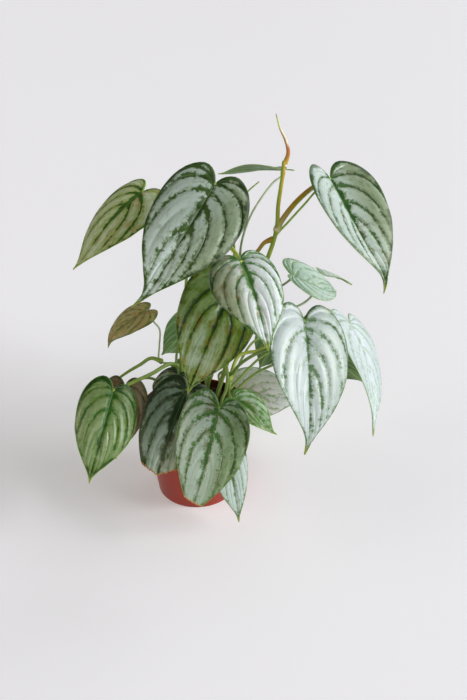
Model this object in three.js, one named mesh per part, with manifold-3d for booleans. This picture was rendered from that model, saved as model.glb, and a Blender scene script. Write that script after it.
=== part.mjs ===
import * as THREE from 'three';
import { mergeVertices } from 'three/addons/utils/BufferGeometryUtils.js';
import Module from 'manifold-3d';

const wasm = await Module();
wasm.setup();

// Sizes in millimetres. The pot base is centred on the origin and stands on z = 0.
const POT_HEIGHT = 78;
const POT_TOP_RADIUS = 45;
const POT_BASE_RADIUS = 32.5;
const POT_WALL = 1.2;
const POT_FLOOR = 1.6;
const RIM_HEIGHT = 9;
const RIM_STEP = 1.3;
const DRAIN_RADIUS = 4;
const DRAIN_RING = 21;
const DRAIN_COUNT = 6;
const ROUND_SEGMENTS = 40;

const SOIL_TOP = 71;
const SOIL_CLEARANCE = 0.3;
const STEM_FOOT = 58;
const STEM_STRAIGHT = 74;
const STEM_HOLE_CLEARANCE = 0.45;

const BLADE_THICKNESS = 0.8;
const PETIOLE_GAP = 0.33;
const PETIOLE_BEND = 5;
const TUBE_SIDES = 6;
const TUBE_STEP = 9;

// Half of a leaf outline: x in half widths, y in lengths from the petiole joint to the tip.
const OUTLINE_PLAIN = [
  [0, 0], [0.07, -0.05], [0.2, -0.1], [0.38, -0.125], [0.58, -0.1], [0.78, -0.035], [0.93, 0.07], [1, 0.21],
  [0.985, 0.36], [0.88, 0.51], [0.68, 0.65], [0.42, 0.78], [0.2, 0.88], [0.075, 0.945], [0.03, 0.975], [0, 1],
];
const OUTLINE_DRIP = [
  [0, 0], [0.07, -0.05], [0.2, -0.1], [0.38, -0.125], [0.58, -0.1], [0.78, -0.04], [0.93, 0.055], [1, 0.185],
  [0.985, 0.32], [0.88, 0.455], [0.68, 0.58], [0.42, 0.7], [0.2, 0.79], [0.085, 0.86], [0.035, 0.93], [0, 1],
];

const COLOURS = {
  silver: '#a9bcab',
  green: '#86a076',
  olive: '#84904f',
  bronze: '#7d6c4c',
  dark: '#5d7260',
  pale: '#b9c8b8',
  under: '#6d8f4c',
};

// joint: where the petiole meets the blade; tip: the end of the blade; face: azimuth and elevation of the
// upper side. droop bends the midrib, fold lifts the halves, curl turns the margins down (all degrees);
// sweep and hook shift the midrib sideways in mm, skew widens one half, drip lengthens the tip.
const LEAVES = [
  { name: 'leaf_upper_left', joint: [-41, 68, 238], tip: [-93, 21, 192], face: [-137, 46], width: 55, droop: 32,
    fold: 7, curl: 38, twist: -15, sweep: -1.5, skew: -0.03, hook: -3, drip: 0.2, colour: 'olive' },
  { name: 'leaf_upper_large', joint: [17, 35, 257], tip: [-43, -42, 193], face: [-108, 37], width: 75, droop: 34,
    fold: 8, curl: 33, twist: -1, sweep: -6, skew: 0.02, hook: -4.5, drip: 0.6, colour: 'green' },
  { name: 'leaf_top_back', joint: [72, 108, 243], tip: [21, 88, 244], face: [95, 60], width: 42, droop: 22,
    fold: 8, curl: 10, drip: 0.3, colour: 'under' },
  { name: 'leaf_upper_right', joint: [105, 51, 255], tip: [143, -11, 188], face: [-50, 25], width: 67, droop: 22,
    fold: 18, curl: 8, twist: -3, sweep: 2, skew: -0.06, hook: -6.5, drip: 0.7, colour: 'green' },
  { name: 'leaf_centre', joint: [36, -9, 214], tip: [55, -78, 178], face: [-75, 45], width: 56, droop: 44,
    fold: 11, curl: 48, twist: 12, skew: 0.02, drip: 0, colour: 'silver' },
  { name: 'leaf_centre_left', joint: [29, 10, 187], tip: [-4, -40, 117], face: [-88, 27], width: 63, droop: 35,
    fold: 16, curl: 38, twist: -3, sweep: -0.5, skew: 0.03, hook: 0.5, drip: 0.2, colour: 'olive' },
  { name: 'leaf_bronze_left', joint: [-40, 48, 142], tip: [-72, 31, 116], face: [-144, 38], width: 31, droop: 37,
    fold: 15, curl: 42, twist: -7, sweep: 2, hook: 3, drip: 0, colour: 'bronze' },
  { name: 'leaf_behind_left', joint: [-1, 55, 127], tip: [-29, 36, 106], face: [70, 10], width: 36, droop: 20,
    fold: 12, curl: 40, drip: 0.3, colour: 'under' },
  { name: 'leaf_right', joint: [83, -31, 176], tip: [82, -92, 99], face: [-61, 10], width: 69, droop: 27,
    fold: 19, curl: 36, twist: 7, skew: -0.06, hook: -2, drip: 0.5, colour: 'silver' },
  { name: 'leaf_far_right', joint: [126, 42, 133], tip: [141, -32, 72], face: [-29, 14], width: 66, droop: 39,
    fold: 7, curl: 19, twist: 13, sweep: 0.5, skew: 0.03, hook: 1.5, drip: 1, colour: 'pale' },
  { name: 'leaf_behind_right', joint: [106, 52, 100], tip: [143, 42, 74], face: [60, -5], width: 34, droop: 20,
    fold: 12, curl: 40, drip: 0.3, colour: 'under' },
  { name: 'leaf_back_right', joint: [83, 112, 142], tip: [125, 135, 115], face: [-108, 64], width: 42, droop: 32,
    fold: 16, curl: 26, twist: 2, sweep: 9, skew: -0.13, hook: 1.5, drip: 0, colour: 'pale' },
  { name: 'leaf_back_far', joint: [112, 158, 125], tip: [140, 145, 116], face: [60, 62], width: 38, droop: 15,
    fold: 12, curl: 40, drip: 0.3, colour: 'pale' },
  { name: 'leaf_lower_left', joint: [-61, -32, 116], tip: [-78, -79, 62], face: [-86, 27], width: 52, droop: 52,
    fold: 4, curl: 53, twist: -20, skew: -0.02, hook: 0.5, drip: 0.3, colour: 'green' },
  { name: 'leaf_bronze_low', joint: [-58, 3, 98], tip: [-64, -27, 53], face: [-100, 25], width: 38, droop: 25,
    fold: 12, curl: 40, drip: 0.3, colour: 'bronze' },
  { name: 'leaf_torn', joint: [-6, -15, 105], tip: [-34, -78, 45], face: [-104, 25], width: 58, droop: 47,
    fold: 2, curl: 39, twist: -12, sweep: -0.5, hook: -1.5, drip: 0, cut: { left: 0.73, middle: 0.78, right: 0.65 },
    colour: 'dark' },
  { name: 'leaf_front_cut', joint: [20, -47, 110], tip: [-2, -98, 43], face: [-119, 19], width: 60, droop: 43,
    fold: 6, curl: 33, twist: -26, sweep: -4.5, skew: 0.05, hook: -0.5, drip: 0,
    cut: { left: 0.79, middle: 0.84, right: 0.88 }, colour: 'green' },
  { name: 'leaf_low_right', joint: [32, 48, 64], tip: [88, 43, 55], face: [-84, 45], width: 47, droop: 34,
    fold: 10, curl: 36, drip: 0, colour: 'pale' },
  { name: 'leaf_small_right', joint: [31, -9, 93], tip: [65, -31, 73], face: [-46, 55], width: 30, droop: 35,
    fold: 15, curl: 30, twist: 7, hook: 2, drip: 0.3, colour: 'green' },
  { name: 'leaf_pot_right', joint: [23, -42, 81], tip: [35, -64, 12], face: [-62, 12], width: 33, droop: 30,
    fold: 12, curl: 40, sweep: 1, drip: 0.3, colour: 'silver' },
  { name: 'leaf_low_inner', joint: [-14, 11, 103], tip: [-30, -17, 88], face: [-115, 45], width: 33, droop: 20,
    fold: 12, curl: 40, drip: 0.3, colour: 'dark' },
  { name: 'leaf_inner_right', joint: [72, 84, 103], tip: [53, 70, 71], face: [55, 30], width: 36, droop: 25,
    fold: 12, curl: 40, drip: 0.3, colour: 'pale' },
  { name: 'leaf_rear_top', joint: [21, 131, 200], tip: [-11, 121, 145], face: [110, 30], width: 52, droop: 30,
    fold: 12, curl: 40, drip: 0.3, colour: 'silver' },
  { name: 'leaf_rear_middle', joint: [24, 110, 129], tip: [7, 109, 65], face: [80, 30], width: 50, droop: 35,
    fold: 12, curl: 40, drip: 0.3, colour: 'green' },
  { name: 'leaf_rear_right', joint: [86, 91, 94], tip: [107, 75, 27], face: [55, 28], width: 52, droop: 35,
    fold: 12, curl: 40, drip: 0.3, colour: 'green' },
  { name: 'leaf_rear_low', joint: [-4, 60, 84], tip: [-16, 66, 26], face: [100, 20], width: 42, droop: 30,
    fold: 12, curl: 40, drip: 0.3, colour: 'silver' },
];

// Each vine is grown as one piece: a stem out of the soil, its petioles and its sheaths.
// path: points of the centre line; radius: at its start and end; leaf: the blade that the petiole carries.
const VINES = [
  { name: 'vine_main', foot: [16, 12], colour: '#7f7a2c', tubes: [
    { path: [[24, 16, 105], [36, 18, 145], [46, 18, 180], [56, 17, 206], [62, 26, 224], [63, 30, 242], [66, 35, 264],
      [67, 38, 274]], radius: [2.1, 1.5], stem: true },
    { path: [[67, 38, 273], [70, 40, 281], [68, 42, 288], [65, 44, 297], [62, 46, 307]], radius: [1.9, 0.5] },
    { path: [[63, 28, 226], [69, 35, 234], [76, 42, 241], [84, 50, 244], [94, 60, 244], [101, 69, 244]],
      radius: [2, 0.9] },
    { path: [[61, 24, 219], [72, 29, 225], [80, 35, 233], [86, 41, 239], [94, 51, 244]], radius: [0.9, 0.8],
      leaf: 'leaf_upper_right' },
    { path: [[60, 23, 217], [54, 25, 213], [49, 26, 205], [40, 26, 197], [34, 20, 190]], radius: [1.9, 1.1],
      leaf: 'leaf_centre_left' },
  ] },
  { name: 'vine_front', foot: [-2, 4], colour: '#8a9a45', tubes: [
    { path: [[0, 14, 110], [4, 22, 160], [10, 27, 195], [15, 30, 218]], radius: [1.9, 1.6], stem: true },
    { path: [[15, 30, 215], [20, 38, 234], [20, 44, 248]], radius: [1.5, 1.1], leaf: 'leaf_upper_large' },
    { path: [[14, 29, 212], [22, 22, 217], [30, 13, 213], [34, 2, 212]], radius: [1.6, 1.2], leaf: 'leaf_centre', lean: 35 },
  ] },
  { name: 'vine_left', foot: [-12, 14], colour: '#86983f', tubes: [
    { path: [[-12, 28, 110], [-8, 42, 160], [-5, 50, 200]], radius: [1.8, 1.4], stem: true },
    { path: [[-5, 50, 197], [-12, 64, 222], [-28, 74, 231]], radius: [1.3, 1.1], leaf: 'leaf_upper_left' },
    { path: [[-6, 48, 190], [4, 80, 202], [14, 112, 206]], radius: [1.3, 1.1], leaf: 'leaf_rear_top' },
  ] },
  { name: 'vine_back', foot: [8, 30], colour: '#84a05c', tubes: [
    { path: [[18, 42, 110], [28, 48, 150], [36, 50, 188]], radius: [1.9, 1.5], stem: true },
    { path: [[36, 50, 186], [37, 57, 197], [44, 75, 215], [54, 93, 232], [62, 105, 241]], radius: [1.3, 1],
      leaf: 'leaf_top_back' },
    { path: [[23, 45, 130], [45, 75, 142], [70, 104, 134]], radius: [1.2, 1], leaf: 'leaf_back_right' },
    { path: [[20, 43, 116], [50, 85, 112], [97, 126, 109], [110, 142, 119]], radius: [1.2, 1],
      leaf: 'leaf_back_far' },
    { path: [[21, 44, 122], [24, 74, 138], [25, 98, 138]], radius: [1.2, 1], leaf: 'leaf_rear_middle' },
    { path: [[9, 31, 75], [4, 46, 88], [-2, 54, 89]], radius: [1.2, 1], leaf: 'leaf_rear_low' },
    { path: [[32, 50, 170], [33, 92, 216], [43, 94, 228], [52, 97, 235]], radius: [1.1, 0.5] },
  ] },
  { name: 'vine_low_left', foot: [-20, 12], colour: '#8fb155', tubes: [
    { path: [[-19, 15, 86], [-15, 23, 104]], radius: [1.8, 1.6], stem: true },
    { path: [[-15, 23, 103], [-21, 17, 109], [-34, 1, 110], [-41, -9, 112], [-47, -16, 113]],
      radius: [1.4, 1], leaf: 'leaf_lower_left' },
    { path: [[-21, 17, 109], [-30, 24, 108], [-30, 31, 118], [-30, 39, 129], [-35, 43, 134]], radius: [0.8, 0.7],
      leaf: 'leaf_bronze_left' },
    { path: [[-27, 22, 108], [-37, 26, 109], [-46, 24, 104], [-56, 19, 100], [-68, 12, 94]], radius: [1.2, 0.5] },
    { path: [[-17, 21, 96], [-15, 34, 116], [-8, 46, 127]], radius: [1.1, 0.9], leaf: 'leaf_behind_left' },
    { path: [[-19, 14, 82], [-36, 14, 97], [-50, 9, 98]], radius: [1.2, 1], leaf: 'leaf_bronze_low' },
    { path: [[-20, 13, 77], [-22, 22, 90], [-17, 20, 99]], radius: [1.2, 1], leaf: 'leaf_low_inner' },
  ] },
  { name: 'vine_low_front', foot: [12, -2], colour: '#7c9a4a', tubes: [
    { path: [[14, 0, 84]], radius: [1.9, 1.6], stem: true },
    { path: [[13, -1, 78], [6, -2, 98], [-1, -6, 107]], radius: [1.3, 1], leaf: 'leaf_torn' },
    { path: [[14, 0, 80], [21, 4, 100], [25, -6, 122], [26, -13, 118], [25, -28, 113], [22, -38, 111]],
      radius: [1.5, 1.1], leaf: 'leaf_front_cut' },
    { path: [[14, -1, 76], [22, -4, 86], [27, -6, 90]], radius: [1.1, 0.9], leaf: 'leaf_small_right' },
    { path: [[13, -3, 74], [17, -20, 86], [21, -35, 86]], radius: [1.2, 1], leaf: 'leaf_pot_right' },
  ] },
  { name: 'vine_low_right', foot: [26, 8], colour: '#94a83c', tubes: [
    { path: [[27, 8, 95], [27, 6, 108]], radius: [1.8, 1.6], stem: true },
    { path: [[27, 6, 106], [30, -3, 113], [36, -6, 123], [44, -10, 132], [51, -13, 138], [64, -18, 147],
      [76, -22, 163]], radius: [1.4, 1.1], leaf: 'leaf_right' },
    { path: [[27, 8, 98], [35, 28, 110], [43, 32, 111], [51, 33, 112], [77, 42, 127], [101, 51, 141], [110, 51, 140],
      [116, 46, 134]], radius: [1.6, 1.1], leaf: 'leaf_far_right' },
    { path: [[26, 8, 83], [26, 28, 89], [22, 42, 86], [18, 51, 76], [21, 56, 64]], radius: [1.2, 1],
      leaf: 'leaf_low_right' },
    { path: [[27, 8, 94], [46, 48, 110], [64, 70, 108]], radius: [1.1, 0.9], leaf: 'leaf_inner_right' },
    { path: [[27, 8, 90], [60, 34, 110], [94, 48, 106]], radius: [1.1, 0.9], leaf: 'leaf_behind_right' },
    { path: [[27, 8, 82], [48, 28, 92], [76, 54, 92], [86, 80, 88]], radius: [1.2, 1], leaf: 'leaf_rear_right' },
  ] },
];

const vector = (p) => new THREE.Vector3(...p);

function curvePoint(points, t) {
  const place = Math.min(Math.max(t, 0), 1) * (points.length - 1);
  const i = Math.min(Math.floor(place), points.length - 2);
  const w = place - i;
  const at = (k) => points[Math.min(Math.max(k, 0), points.length - 1)];
  return [0, 1].map((axis) => {
    const [a, b, c, d] = [at(i - 1)[axis], at(i)[axis], at(i + 1)[axis], at(i + 2)[axis]];
    const m0 = (c - a) / 2;
    const m1 = (d - b) / 2;
    return (2 * b - 2 * c + m0 + m1) * w ** 3 + (-3 * b + 3 * c - 2 * m0 - m1) * w ** 2 + m0 * w + b;
  });
}

function outlinePoints(drip) {
  return OUTLINE_PLAIN.map((p, i) => p.map((v, axis) => v * (1 - drip) + OUTLINE_DRIP[i][axis] * drip));
}

// A torn end: the margin stops at its height on each side and runs across to the midrib.
function marginPoint(points, cut, side, row, rows) {
  if (!cut) {
    return curvePoint(points, row / rows);
  }
  const height = side > 0 ? cut.left : cut.right;
  let stop = 1;
  while (curvePoint(points, stop)[1] > height) {
    stop -= 0.005;
  }
  const across = 2;
  if (row <= rows - across) {
    return curvePoint(points, (stop * row) / (rows - across));
  }
  const corner = curvePoint(points, stop);
  const w = (row - rows + across) / across;
  return [corner[0] * (1 - w), corner[1] * (1 - w) + cut.middle * w];
}

function leafFrame(leaf) {
  const joint = vector(leaf.joint);
  const chord = vector(leaf.tip).sub(joint);
  const along = chord.clone().normalize();
  const [azimuth, elevation] = leaf.face.map(THREE.MathUtils.degToRad);
  const up = new THREE.Vector3(
    Math.cos(azimuth) * Math.cos(elevation), Math.sin(azimuth) * Math.cos(elevation), Math.sin(elevation),
  );
  up.addScaledVector(along, -up.dot(along)).normalize();
  const across = along.clone().cross(up);
  return { joint, along, up, across, span: chord.length() };
}

// The midrib is an arc from joint to tip; the axes of the blade turn with it and with the twist.
function bladeAxes(leaf, frame, y) {
  const bend = THREE.MathUtils.degToRad(leaf.droop);
  const reach = frame.span / 2 / Math.sin(bend / 2);
  const angle = bend / 2 - bend * y;
  const turn = THREE.MathUtils.degToRad(leaf.twist ?? 0) * (y - 0.5);
  const forward = reach * (Math.sin(bend / 2) - Math.sin(angle));
  const rise = reach * (Math.cos(angle) - Math.cos(bend / 2));
  const centre = frame.joint.clone().addScaledVector(frame.along, forward).addScaledVector(frame.up, rise);
  const normal = frame.up.clone().multiplyScalar(Math.cos(angle)).addScaledVector(frame.along, -Math.sin(angle));
  const side = frame.across.clone().multiplyScalar(Math.cos(turn)).addScaledVector(normal, Math.sin(turn));
  normal.multiplyScalar(Math.cos(turn)).addScaledVector(frame.across, -Math.sin(turn));
  return { centre, side, normal };
}

// Across the midrib each half rises by the fold and turns down by the curl.
function bladePoint(leaf, frame, x, y) {
  const flat = Math.min(Math.max(y, 0), 1);
  const sway = (leaf.sweep ?? 0) * Math.sin(Math.PI * Math.max(y, -0.2))
    + (leaf.hook ?? 0) * Math.sin(Math.PI * flat ** 4);
  const fold = THREE.MathUtils.degToRad(leaf.fold);
  const curl = THREE.MathUtils.degToRad(leaf.curl);
  const half = (leaf.width / 2) * (1 + (leaf.skew ?? 0) * Math.sign(x));
  const h = Math.abs(x);
  const out = (half * (Math.sin(fold) - Math.sin(fold - curl * h))) / curl * Math.sign(x) + sway;
  const lift = (half * (Math.cos(fold - curl * h) - Math.cos(fold))) / curl;
  const { centre, side, normal } = bladeAxes(leaf, frame, y);
  return centre.addScaledVector(side, out).addScaledVector(normal, lift);
}

function leafSheet(leaf) {
  const rows = leaf.width > 45 ? 15 : 12;
  const columns = leaf.width > 60 ? 4 : 3;
  const frame = leafFrame(leaf);
  const points = outlinePoints(leaf.drip);
  const end = leaf.cut ? leaf.cut.middle : 1;
  const sheet = [];
  const index = new Map();
  const at = (side, i, j) => {
    const key = i === 0 || i === rows || j === 0 ? `0:${i}:0` : `${side}:${i}:${j}`;
    if (!index.has(key)) {
      const middle = end * (i / rows) ** 1.8;
      const [x, y] = marginPoint(points, leaf.cut, side, i, rows);
      const w = i === 0 || i === rows ? 0 : j / columns;
      index.set(key, sheet.length);
      sheet.push(bladePoint(leaf, frame, side * x * w, middle + (y - middle) * w));
    }
    return index.get(key);
  };
  const faces = [];
  const rim = [];
  for (const side of [1, -1]) {
    for (let i = 0; i < rows; i += 1) {
      for (let j = 0; j < columns; j += 1) {
        const [a, b, c, d] = [at(side, i, j), at(side, i, j + 1), at(side, i + 1, j + 1), at(side, i + 1, j)];
        const cell = [];
        if (i > 0) {
          cell.push([a, b, c]);
        }
        if (i < rows - 1) {
          cell.push([a, c, d]);
        }
        faces.push(...cell.map((f) => (side > 0 ? f.reverse() : f)));
      }
      const edge = [at(side, i, columns), at(side, i + 1, columns)];
      rim.push(side > 0 ? edge.reverse() : edge);
    }
  }
  return { sheet, faces, rim };
}

function sheetNormals(sheet, faces) {
  const normals = sheet.map(() => new THREE.Vector3());
  for (const [a, b, c] of faces) {
    const normal = sheet[b].clone().sub(sheet[a]).cross(sheet[c].clone().sub(sheet[a]));
    for (const k of [a, b, c]) {
      normals[k].add(normal);
    }
  }
  return normals.map((n) => n.normalize());
}

function leafGeometry(leaf) {
  const { sheet, faces, rim } = leafSheet(leaf);
  const normals = sheetNormals(sheet, faces);
  const count = sheet.length;
  const positions = [];
  for (const way of [0.5, -0.5]) {
    sheet.forEach((p, k) => {
      positions.push(...p.clone().addScaledVector(normals[k], way * BLADE_THICKNESS).toArray());
    });
  }
  const indices = [];
  for (const [a, b, c] of faces) {
    indices.push(a, b, c, a + count, c + count, b + count);
  }
  for (const [a, b] of rim) {
    indices.push(b, a, a + count, b, a + count, b + count);
  }
  const geometry = new THREE.BufferGeometry();
  geometry.setAttribute('position', new THREE.Float32BufferAttribute(positions, 3));
  geometry.setIndex(indices);
  return geometry;
}

function tubeGeometry(points, radius, end) {
  const curve = new THREE.CatmullRomCurve3(points, false, 'centripetal');
  const steps = Math.max(2, Math.round(curve.getLength() / TUBE_STEP));
  const source = new THREE.TubeGeometry(curve, steps, 1, TUBE_SIDES, false).getAttribute('position');
  const positions = [];
  for (let i = 0; i <= steps; i += 1) {
    const centre = curve.getPointAt(i / steps);
    const r = THREE.MathUtils.lerp(radius[0], radius[1], i / steps);
    for (let j = 0; j < TUBE_SIDES; j += 1) {
      const p = new THREE.Vector3().fromBufferAttribute(source, i * (TUBE_SIDES + 1) + j);
      positions.push(...p.sub(centre).multiplyScalar(r).add(centre).toArray());
    }
  }
  const first = positions.length / 3;
  const tip = end === 'point' ? radius[1] : 0;
  const tangent = curve.getTangentAt(1).multiplyScalar(tip);
  positions.push(...curve.getPointAt(0).toArray(), ...curve.getPointAt(1).add(tangent).toArray());
  const indices = [];
  for (let j = 0; j < TUBE_SIDES; j += 1) {
    const next = (j + 1) % TUBE_SIDES;
    for (let i = 0; i < steps; i += 1) {
      const [a, b] = [i * TUBE_SIDES + j, i * TUBE_SIDES + next];
      indices.push(a, a + TUBE_SIDES, b, b, a + TUBE_SIDES, b + TUBE_SIDES);
    }
    indices.push(first, j, next, first + 1, steps * TUBE_SIDES + next, steps * TUBE_SIDES + j);
  }
  const geometry = new THREE.BufferGeometry();
  geometry.setAttribute('position', new THREE.Float32BufferAttribute(positions, 3));
  geometry.setIndex(indices);
  return geometry;
}

function toSolid(source) {
  const geometry = source.clone();
  geometry.deleteAttribute('normal');
  geometry.deleteAttribute('uv');
  const merged = mergeVertices(geometry, 1e-4);
  return new wasm.Manifold(new wasm.Mesh({
    numProp: 3,
    vertProperties: new Float32Array(merged.getAttribute('position').array),
    triVerts: new Uint32Array(merged.getIndex().array),
  }));
}

function fromSolid(solid) {
  const mesh = solid.getMesh();
  const geometry = new THREE.BufferGeometry();
  geometry.setAttribute('position', new THREE.Float32BufferAttribute(mesh.vertProperties, 3));
  geometry.setIndex([...mesh.triVerts]);
  return geometry;
}

// A petiole comes up under its blade and stops just short of it at the joint.
function petioleEnd(tube) {
  const leaf = LEAVES.find((each) => each.name === tube.leaf);
  const frame = leafFrame(leaf);
  const { normal, side } = bladeAxes(leaf, frame, 0);
  const lean = THREE.MathUtils.degToRad(tube.lean ?? 0);
  const down = normal.clone().applyAxisAngle(side, lean).negate();
  const stop = (BLADE_THICKNESS / 2 + PETIOLE_GAP + tube.radius[1] * Math.sin(lean)) / Math.cos(lean);
  return [PETIOLE_BEND, stop].map((reach) => frame.joint.clone().addScaledVector(down, reach));
}

function tubePoints(vine, tube) {
  const points = tube.path.map(vector);
  if (tube.stem) {
    const foot = (z) => new THREE.Vector3(...vine.foot, z);
    return [foot(STEM_FOOT), foot((STEM_FOOT + STEM_STRAIGHT) / 2), foot(STEM_STRAIGHT), ...points];
  }
  if (tube.leaf) {
    points.push(...petioleEnd(tube));
  }
  return points;
}

function vineGeometry(vine) {
  const solids = vine.tubes.map((tube) => {
    const end = tube.leaf ? 'flat' : 'point';
    return toSolid(tubeGeometry(tubePoints(vine, tube), tube.radius, end));
  });
  return fromSolid(wasm.Manifold.union(solids));
}

// Turned about z: the profile is given as radius and height and closes on itself or on the axis.
function turned(profile) {
  const geometry = new THREE.LatheGeometry(profile.map(([r, z]) => new THREE.Vector2(r, z)), ROUND_SEGMENTS);
  return geometry.rotateX(Math.PI / 2);
}

function upright(radius, height, x, y, z) {
  const geometry = new THREE.CylinderGeometry(radius, radius, height, 20);
  return geometry.rotateX(Math.PI / 2).translate(x, y, z + height / 2);
}

const wallRadius = (z) => THREE.MathUtils.lerp(POT_BASE_RADIUS, POT_TOP_RADIUS - RIM_STEP, z / POT_HEIGHT);

function potGeometry() {
  const rimFoot = POT_HEIGHT - RIM_HEIGHT;
  const inner = (z) => wallRadius(z) - POT_WALL;
  const profile = [
    [0, 0], [POT_BASE_RADIUS - 1, 0], [POT_BASE_RADIUS, 1],
    [wallRadius(rimFoot - RIM_STEP), rimFoot - RIM_STEP], [wallRadius(rimFoot) + RIM_STEP, rimFoot],
    [POT_TOP_RADIUS, POT_HEIGHT - 0.6], [POT_TOP_RADIUS - 0.6, POT_HEIGHT],
    [inner(POT_HEIGHT) + 0.5, POT_HEIGHT], [inner(POT_HEIGHT - 0.6), POT_HEIGHT - 0.6],
    [inner(POT_FLOOR), POT_FLOOR], [0, POT_FLOOR],
  ];
  let pot = toSolid(turned(profile));
  for (let k = 0; k < DRAIN_COUNT; k += 1) {
    const angle = (k / DRAIN_COUNT) * 2 * Math.PI;
    const hole = upright(DRAIN_RADIUS, 6, DRAIN_RING * Math.cos(angle), DRAIN_RING * Math.sin(angle), -2);
    pot = pot.subtract(toSolid(hole));
  }
  return fromSolid(pot);
}

function soilGeometry() {
  const low = POT_FLOOR + SOIL_CLEARANCE;
  const edge = (z) => wallRadius(z) - POT_WALL - SOIL_CLEARANCE;
  const profile = [
    [0, low], [edge(low), low], [edge(SOIL_TOP - 1.5), SOIL_TOP - 1.5], [edge(SOIL_TOP) - 5, SOIL_TOP - 0.4],
    [0, SOIL_TOP],
  ];
  let soil = toSolid(turned(profile));
  for (const vine of VINES) {
    const radius = vine.tubes[0].radius[0] + STEM_HOLE_CLEARANCE;
    const bottom = STEM_FOOT - STEM_HOLE_CLEARANCE;
    soil = soil.subtract(toSolid(upright(radius, 20, ...vine.foot, bottom)));
  }
  return fromSolid(soil);
}

function mesh(name, geometry, colour, roughness) {
  const material = new THREE.MeshStandardMaterial({ color: colour, roughness, metalness: 0 });
  material.name = `${name}_material`;
  const piece = new THREE.Mesh(geometry, material);
  piece.name = name;
  return piece;
}

const plant = new THREE.Group();
plant.name = 'potted_satin_pothos';
plant.add(mesh('pot', potGeometry(), '#8c3c2d', 0.3));
plant.add(mesh('soil', soilGeometry(), '#2b211a', 0.95));
for (const vine of VINES) {
  plant.add(mesh(vine.name, vineGeometry(vine), vine.colour, 0.45));
}
for (const leaf of LEAVES) {
  plant.add(mesh(leaf.name, leafGeometry(leaf), COLOURS[leaf.colour], 0.42));
}

export default plant;
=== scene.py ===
import math

import bpy
import numpy as np
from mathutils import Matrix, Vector, noise


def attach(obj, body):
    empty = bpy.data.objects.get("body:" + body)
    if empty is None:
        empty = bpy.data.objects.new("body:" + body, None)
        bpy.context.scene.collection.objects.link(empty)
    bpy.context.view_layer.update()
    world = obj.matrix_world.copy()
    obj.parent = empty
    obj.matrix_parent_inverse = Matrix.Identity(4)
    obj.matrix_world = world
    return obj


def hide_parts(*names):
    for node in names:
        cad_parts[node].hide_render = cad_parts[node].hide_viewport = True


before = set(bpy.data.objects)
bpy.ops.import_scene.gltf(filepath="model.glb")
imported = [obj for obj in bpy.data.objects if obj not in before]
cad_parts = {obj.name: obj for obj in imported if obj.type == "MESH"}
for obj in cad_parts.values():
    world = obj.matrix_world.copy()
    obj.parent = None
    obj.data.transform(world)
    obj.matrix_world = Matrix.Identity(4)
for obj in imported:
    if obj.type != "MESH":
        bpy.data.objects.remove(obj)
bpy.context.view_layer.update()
mm = 0.001
print("frame loaded, nodes:", len(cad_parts))


def paint(code):
    # '#rrggbb' as a linear colour
    parts = [int(code[k:k + 2], 16) / 255 for k in (1, 3, 5)]
    return [c / 12.92 if c < 0.04045 else ((c + 0.055) / 1.055) ** 2.4 for c in parts] + [1]


def pickNone():
    bpy.ops.object.select_all(action="DESELECT")


def pickOnly(piece):
    pickNone()
    piece.select_set(True)
    bpy.context.view_layer.objects.active = piece


def setMode(mode):
    bpy.ops.object.mode_set(mode=mode)


def tidyMesh(piece, gap=0.01, outward=True):
    pickOnly(piece)
    setMode("EDIT")
    bpy.ops.mesh.select_all(action="SELECT")
    bpy.ops.mesh.remove_doubles(threshold=gap * mm)
    if outward:
        bpy.ops.mesh.normals_make_consistent(inside=False)
    setMode("OBJECT")


def addModifier(piece, kind, **settings):
    pickOnly(piece)
    bpy.ops.object.modifier_add(type=kind)
    modifier = piece.modifiers[-1]
    for key, value in settings.items():
        setattr(modifier, key, value)
    bpy.ops.object.modifier_apply(modifier=modifier.name)


def joinPieces(pieces, name):
    pickOnly(pieces[0])
    for piece in pieces[1:]:
        piece.select_set(True)
    bpy.ops.object.join()
    pieces[0].name = pieces[0].data.name = name
    return pieces[0]


def smoothPiece(piece, angle):
    pickOnly(piece)
    bpy.ops.object.shade_smooth_by_angle(angle=math.radians(angle))


def addSheet(name, columns, rows, shape):
    # a flat grid, laid out by shape(u, v), which gives millimetres and marks for the materials
    pickNone()
    bpy.ops.mesh.primitive_grid_add(x_subdivisions=columns, y_subdivisions=rows, size=2)
    sheet = bpy.context.object
    sheet.name = sheet.data.name = name
    flat = np.empty(len(sheet.data.vertices) * 3)
    sheet.data.vertices.foreach_get("co", flat)
    u, v = (flat.reshape(-1, 3)[:, :2].T + 1) / 2
    points, marks = shape(u, v)
    sheet.data.vertices.foreach_set("co", (points * mm).ravel())
    for mark, values in marks.items():
        kind, field = ("FLOAT_COLOR", "color") if values.shape[1] == 4 else ("FLOAT_VECTOR", "vector")
        sheet.data.attributes.new(mark, kind, "POINT").data.foreach_set(field, values.ravel())
    sheet.data.update()
    return sheet


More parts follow.
